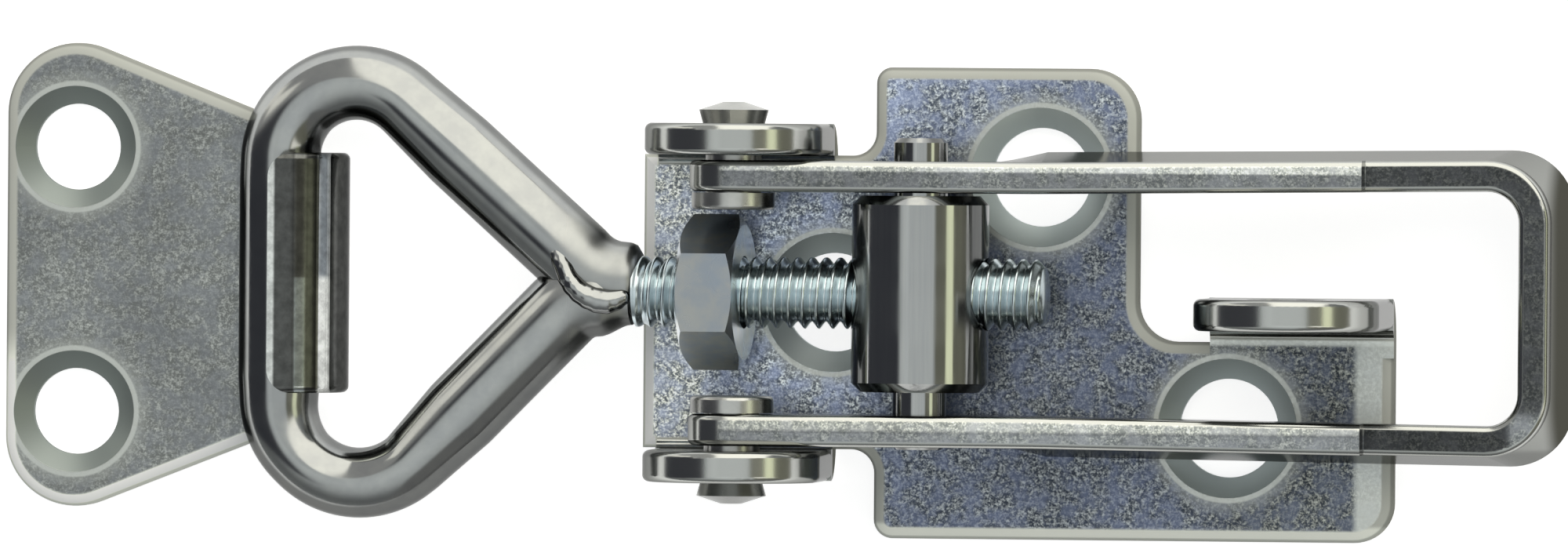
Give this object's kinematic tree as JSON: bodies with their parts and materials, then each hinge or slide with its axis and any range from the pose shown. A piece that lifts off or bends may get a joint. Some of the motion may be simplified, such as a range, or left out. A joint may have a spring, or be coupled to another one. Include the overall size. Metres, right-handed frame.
{
  "type": "over centre toggle latch",
  "caption": "Adjustable over centre toggle latch with a folded base plate, a U-shaped lever, a threaded draw bolt with a wire loop, a hooked catch plate and a padlock lug.",
  "frame": {"origin": "on the base plate's mounting face, straight below the axis of the lever's fixed pivot", "axes": "+X runs from the catch to the lever's grip, +Y lies across the latch towards the short screw flange, +Z points away from the mounting surface"},
  "size_m": [0.141, 0.0439, 0.0275],
  "materials": {
    "plated_sheet": "tumbled sheet steel, clear zinc plated",
    "plated_wire": "drawn steel wire, bright zinc plated",
    "plated_turned": "turned steel, bright zinc plated"
  },
  "bodies": {
    "base": {"base_plate": "plated_sheet", "upper_pivot_rivet": "plated_turned", "lower_pivot_rivet": "plated_turned"},
    "handle": {"lever": "plated_sheet"},
    "swivel": {"trunnion": "plated_turned"},
    "bolt": {"draw_bolt": "plated_wire"},
    "nut": {"lock_nut": "plated_turned"},
    "catch": {"catch_plate": "plated_sheet"}
  },
  "joints": [
    {"name": "lever_swing", "type": "hinge", "parent": "base", "child": "handle", "pos_m": [0, 0, 0.013], "axis": [0, -1, 0], "range_deg": [0, 155]},
    {"name": "trunnion_turn", "type": "hinge", "parent": "handle", "child": "swivel", "pos_m": [0.0165, 0.0009, 0.011], "axis": [0, -1, 0], "range_deg": [-155, 0]},
    {"name": "adjust", "type": "slide", "parent": "swivel", "child": "bolt", "axis": [0.9966, 0, 0.0823], "range_m": [-0.005, 0.0044]},
    {"name": "nut_travel", "type": "slide", "parent": "bolt", "child": "nut", "axis": [0.9966, 0, 0.0823], "range_m": [-0.003, 0.0052]},
    {"name": "catch_swing", "type": "hinge", "parent": "bolt", "child": "catch", "pos_m": [-0.0415, 0.0019, 0.00621], "axis": [0, 1, 0], "range_deg": [0, 90]}
  ],
  "couplings": [
    {"joint": "trunnion_turn", "follows": "lever_swing", "ratio": -1}
  ]
}
